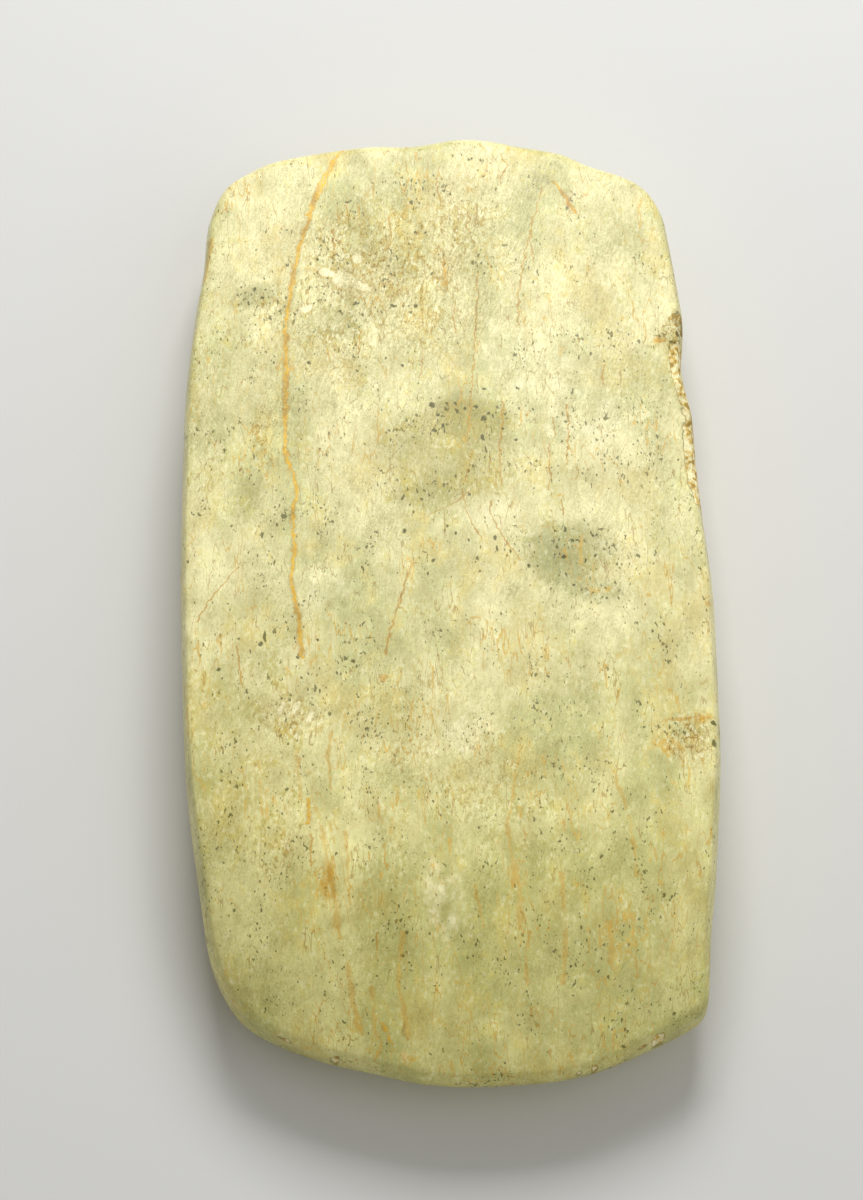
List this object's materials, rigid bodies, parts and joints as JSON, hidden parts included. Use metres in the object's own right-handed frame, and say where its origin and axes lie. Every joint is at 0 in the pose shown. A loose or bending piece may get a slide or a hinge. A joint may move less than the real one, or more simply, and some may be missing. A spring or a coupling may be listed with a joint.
{
  "type": "polished stone axe head",
  "caption": "Flat ground and polished jadeite axe head with a curved bevelled cutting edge, rounded sides and a thinner rounded butt, lying on one face.",
  "frame": {"origin": "under the middle of the stone's box, on the surface that it lies on", "axes": "+Y towards the butt, -Y towards the cutting edge, +X to the right seen from above, +Z out of the upper face"},
  "size_m": [0.056, 0.1082, 0.015],
  "materials": {
    "jadeite": "satin-polished pale yellow-green stone with dark specks, ochre veins and brown stains"
  },
  "bodies": {
    "root": {"axe_head": "jadeite"}
  },
  "joints": []
}
